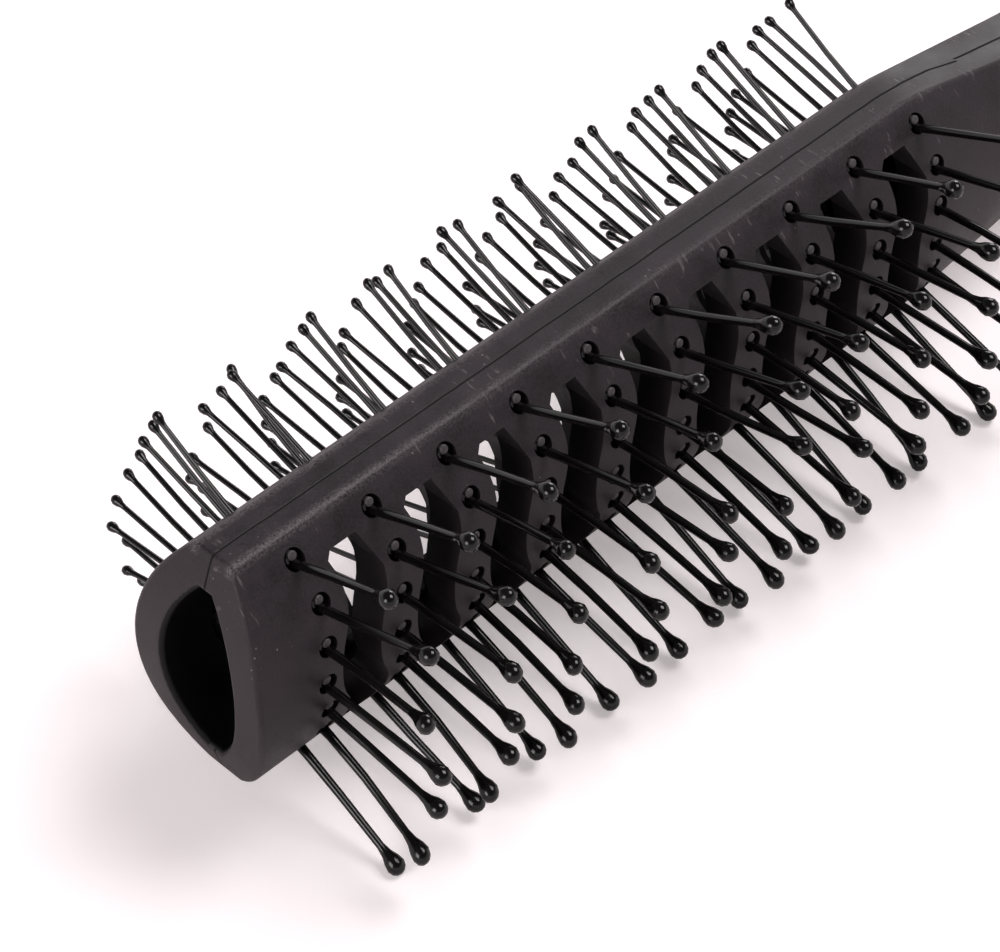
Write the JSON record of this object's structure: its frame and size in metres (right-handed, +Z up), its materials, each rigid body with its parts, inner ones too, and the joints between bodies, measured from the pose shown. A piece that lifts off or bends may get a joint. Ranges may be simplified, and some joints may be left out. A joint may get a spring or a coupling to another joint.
{
  "type": "vent brush",
  "caption": "Two-sided vent hairbrush: a lens-shaped tunnel head with open vents between rows of ball-tipped bristles on both faces, and a straight handle with a hang hole.",
  "frame": {"origin": "on the resting plane under the lowest bristle tips, below the middle of the overall box", "axes": "+X from the open nose to the handle's end, +Z up across the head's width, -Y out of the face with the long bristles"},
  "size_m": [0.2203, 0.047, 0.041],
  "materials": {
    "shell_plastic": "fine matte grain, charcoal black",
    "bristle_nylon": "smooth gloss black"
  },
  "bodies": {
    "root": {"back_bristle_strip_01": "bristle_nylon", "back_bristle_strip_02": "bristle_nylon", "back_bristle_strip_03": "bristle_nylon", "back_bristle_strip_04": "bristle_nylon", "back_bristle_strip_05": "bristle_nylon", "back_bristle_strip_06": "bristle_nylon", "back_bristle_strip_07": "bristle_nylon", "back_bristle_strip_08": "bristle_nylon", "back_bristle_strip_09": "bristle_nylon", "back_bristle_strip_10": "bristle_nylon", "back_shell": "shell_plastic", "front_bristle_strip_01": "bristle_nylon", "front_bristle_strip_02": "bristle_nylon", "front_bristle_strip_03": "bristle_nylon", "front_bristle_strip_04": "bristle_nylon", "front_bristle_strip_05": "bristle_nylon", "front_bristle_strip_06": "bristle_nylon", "front_bristle_strip_07": "bristle_nylon", "front_bristle_strip_08": "bristle_nylon", "front_bristle_strip_09": "bristle_nylon", "front_bristle_strip_10": "bristle_nylon", "front_shell": "shell_plastic"}
  },
  "joints": []
}
